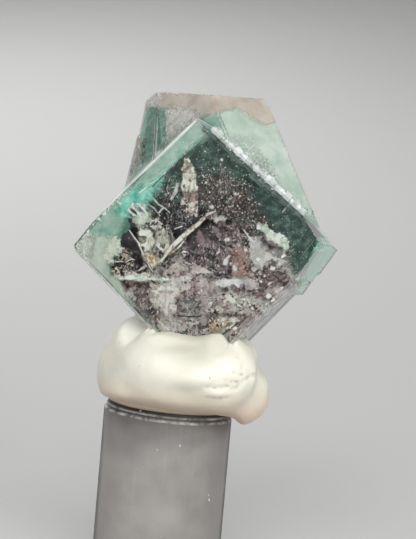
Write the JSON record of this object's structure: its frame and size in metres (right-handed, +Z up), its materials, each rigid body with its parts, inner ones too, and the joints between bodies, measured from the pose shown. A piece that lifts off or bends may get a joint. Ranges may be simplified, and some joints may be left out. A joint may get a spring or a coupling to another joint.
{
  "type": "fluorite crystal on a post",
  "caption": "Small clear green fluorite crystal, a square-faced block with a cleaved crystal grown through it from behind, held by putty on a round post.",
  "frame": {"origin": "centre of the post's flat foot", "axes": "+Z up along the post, -Y towards the viewer of the square front face, +X to that viewer's right"},
  "size_m": [0.0128, 0.0133, 0.0233],
  "materials": {
    "fluorite": "clear pale green crystal with dark green and purple zones, flat glassy faces",
    "putty": "matte cream mineral putty with a few dirty creases",
    "post_plastic": "satin smoky grey plastic with a polished rim and faint scratches"
  },
  "bodies": {
    "root": {"fluorite_crystal": "fluorite", "putty": "putty", "post": "post_plastic"}
  },
  "joints": []
}
